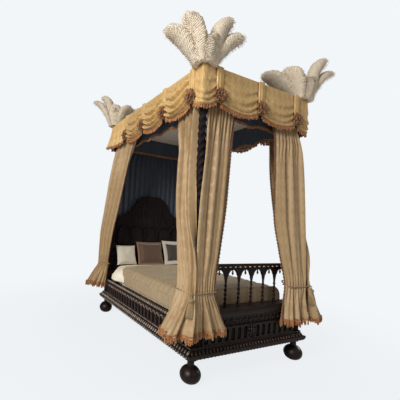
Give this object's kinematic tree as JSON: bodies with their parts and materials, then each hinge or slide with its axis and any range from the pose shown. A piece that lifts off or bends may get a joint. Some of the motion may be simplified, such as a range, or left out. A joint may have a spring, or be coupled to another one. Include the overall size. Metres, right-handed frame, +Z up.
{
  "type": "canopy bed",
  "caption": "Carved dark oak four-poster bed with a swagged silk canopy, tied-back curtains, bedding and ostrich plumes over the corners.",
  "frame": {"origin": "on the floor below the middle of the bed", "axes": "+Z up, +Y towards the head, +X to the right seen from the foot"},
  "size_m": [2.2132, 3.0132, 3.5094],
  "materials": {
    "dark_wood": "near-black carved oak, waxed",
    "plain_wood": "plain planed softwood",
    "rod_metal": "aged brass",
    "gold_silk": "woven silk, gold-brown with a soft sheen",
    "rust_fringe": "rust-brown cut fringe and gathered knots",
    "navy_lining": "dark blue lining",
    "pale_lining": "pale stretched lining",
    "sheet_linen": "cream linen",
    "taupe_silk": "taupe-olive silk with a soft sheen",
    "brown_velvet": "brown velvet",
    "grey_velvet": "dark grey velvet with a cream border",
    "cream_cord": "twisted cream-gold cord and threads",
    "ostrich_feather": "curled cream ostrich feathers"
  },
  "bodies": {
    "bedstead": {"back_drape": "navy_lining", "bed_slats": "plain_wood", "bun_feet": "dark_wood", "corner_swag_left": "gold_silk", "corner_swag_right": "gold_silk", "curtain_foot_left": "gold_silk", "curtain_foot_right": "gold_silk", "curtain_head_left": "gold_silk", "curtain_head_right": "gold_silk", "curtain_rods": "rod_metal", "curtain_side_left": "gold_silk", "curtain_side_right": "gold_silk", "foot_rail": "dark_wood", "footboard_arcade": "dark_wood", "footboard_lower_rail": "dark_wood", "footboard_spindles": "dark_wood", "footboard_top_rail": "dark_wood", "frieze_foot": "dark_wood", "frieze_left": "dark_wood", "frieze_right": "dark_wood", "head_rail": "dark_wood", "headboard_crest": "dark_wood", "headboard_panel": "dark_wood", "inner_valance": "navy_lining", "plinth_moulding": "dark_wood", "plume_cups": "dark_wood", "plume_foot_left": "ostrich_feather", "plume_foot_right": "ostrich_feather", "plume_head_left": "ostrich_feather", "plume_head_right": "ostrich_feather", "post_foot_left": "dark_wood", "post_foot_right": "dark_wood", "post_head_left": "dark_wood", "post_head_right": "dark_wood", "rail_capping": "dark_wood", "side_rail_left": "dark_wood", "side_rail_right": "dark_wood", "slat_ledgers": "plain_wood", "tester_ceiling": "pale_lining", "tester_frame": "plain_wood", "tieback_cords": "cream_cord", "valance_foot": "gold_silk", "valance_fringe": "rust_fringe", "valance_head": "gold_silk", "valance_left": "gold_silk", "valance_right": "gold_silk", "valance_rosettes": "rust_fringe"},
    "bedding": {"mattress": "sheet_linen", "coverlet": "taupe_silk"},
    "cream_pillow": {"pillow_cream": "sheet_linen"},
    "brown_pillow": {"pillow_brown": "brown_velvet"},
    "grey_cushion": {"cushion_grey": "grey_velvet"},
    "tassel_left": {"tassel_foot_left": "cream_cord"},
    "tassel_right": {"tassel_foot_right": "cream_cord"},
    "runner_side_left": {"rings_side_left": "rod_metal"},
    "runner_side_right": {"rings_side_right": "rod_metal"},
    "runner_foot_left": {"rings_foot_left": "rod_metal"},
    "runner_foot_right": {"rings_foot_right": "rod_metal"},
    "runner_head_left": {"rings_head_left": "rod_metal"},
    "runner_head_right": {"rings_head_right": "rod_metal"}
  },
  "joints": [
    {"name": "bedding_lift", "type": "slide", "parent": "bedstead", "child": "bedding", "axis": [0, 0, 1], "range_m": [0, 0.19]},
    {"name": "cream_pillow_lift", "type": "slide", "parent": "bedding", "child": "cream_pillow", "axis": [0, 0, 1], "range_m": [0, 0.3]},
    {"name": "brown_pillow_lift", "type": "slide", "parent": "bedding", "child": "brown_pillow", "axis": [0, 0, 1], "range_m": [0, 0.3]},
    {"name": "grey_cushion_lift", "type": "slide", "parent": "bedding", "child": "grey_cushion", "axis": [0, 0, 1], "range_m": [0, 0.3]},
    {"name": "curtain_side_left_draw", "type": "slide", "parent": "bedstead", "child": "runner_side_left", "axis": [0, 1, 0], "range_m": [0, 0.5], "deforming": ["curtain_side_left"]},
    {"name": "curtain_side_right_draw", "type": "slide", "parent": "bedstead", "child": "runner_side_right", "axis": [0, 1, 0], "range_m": [0, 0.5], "deforming": ["curtain_side_right"]},
    {"name": "curtain_foot_left_draw", "type": "slide", "parent": "bedstead", "child": "runner_foot_left", "axis": [1, 0, 0], "range_m": [0, 0.22], "deforming": ["curtain_foot_left"]},
    {"name": "curtain_foot_right_draw", "type": "slide", "parent": "bedstead", "child": "runner_foot_right", "axis": [-1, 0, 0], "range_m": [0, 0.22], "deforming": ["curtain_foot_right"]},
    {"name": "curtain_head_left_draw", "type": "slide", "parent": "bedstead", "child": "runner_head_left", "axis": [0, -1, 0], "range_m": [0, 0.4], "deforming": ["curtain_head_left"]},
    {"name": "curtain_head_right_draw", "type": "slide", "parent": "bedstead", "child": "runner_head_right", "axis": [0, -1, 0], "range_m": [0, 0.4], "deforming": ["curtain_head_right"]},
    {"name": "tassel_left_swing", "type": "hinge", "parent": "bedstead", "child": "tassel_left", "pos_m": [-0.83684, -1.23682, 0.82992], "axis": [-0.7071, 0.7071, 0], "range_deg": [0, 40]},
    {"name": "tassel_right_swing", "type": "hinge", "parent": "bedstead", "child": "tassel_right", "pos_m": [0.83684, -1.23682, 0.82992], "axis": [-0.7071, -0.7071, 0], "range_deg": [0, 40]}
  ]
}
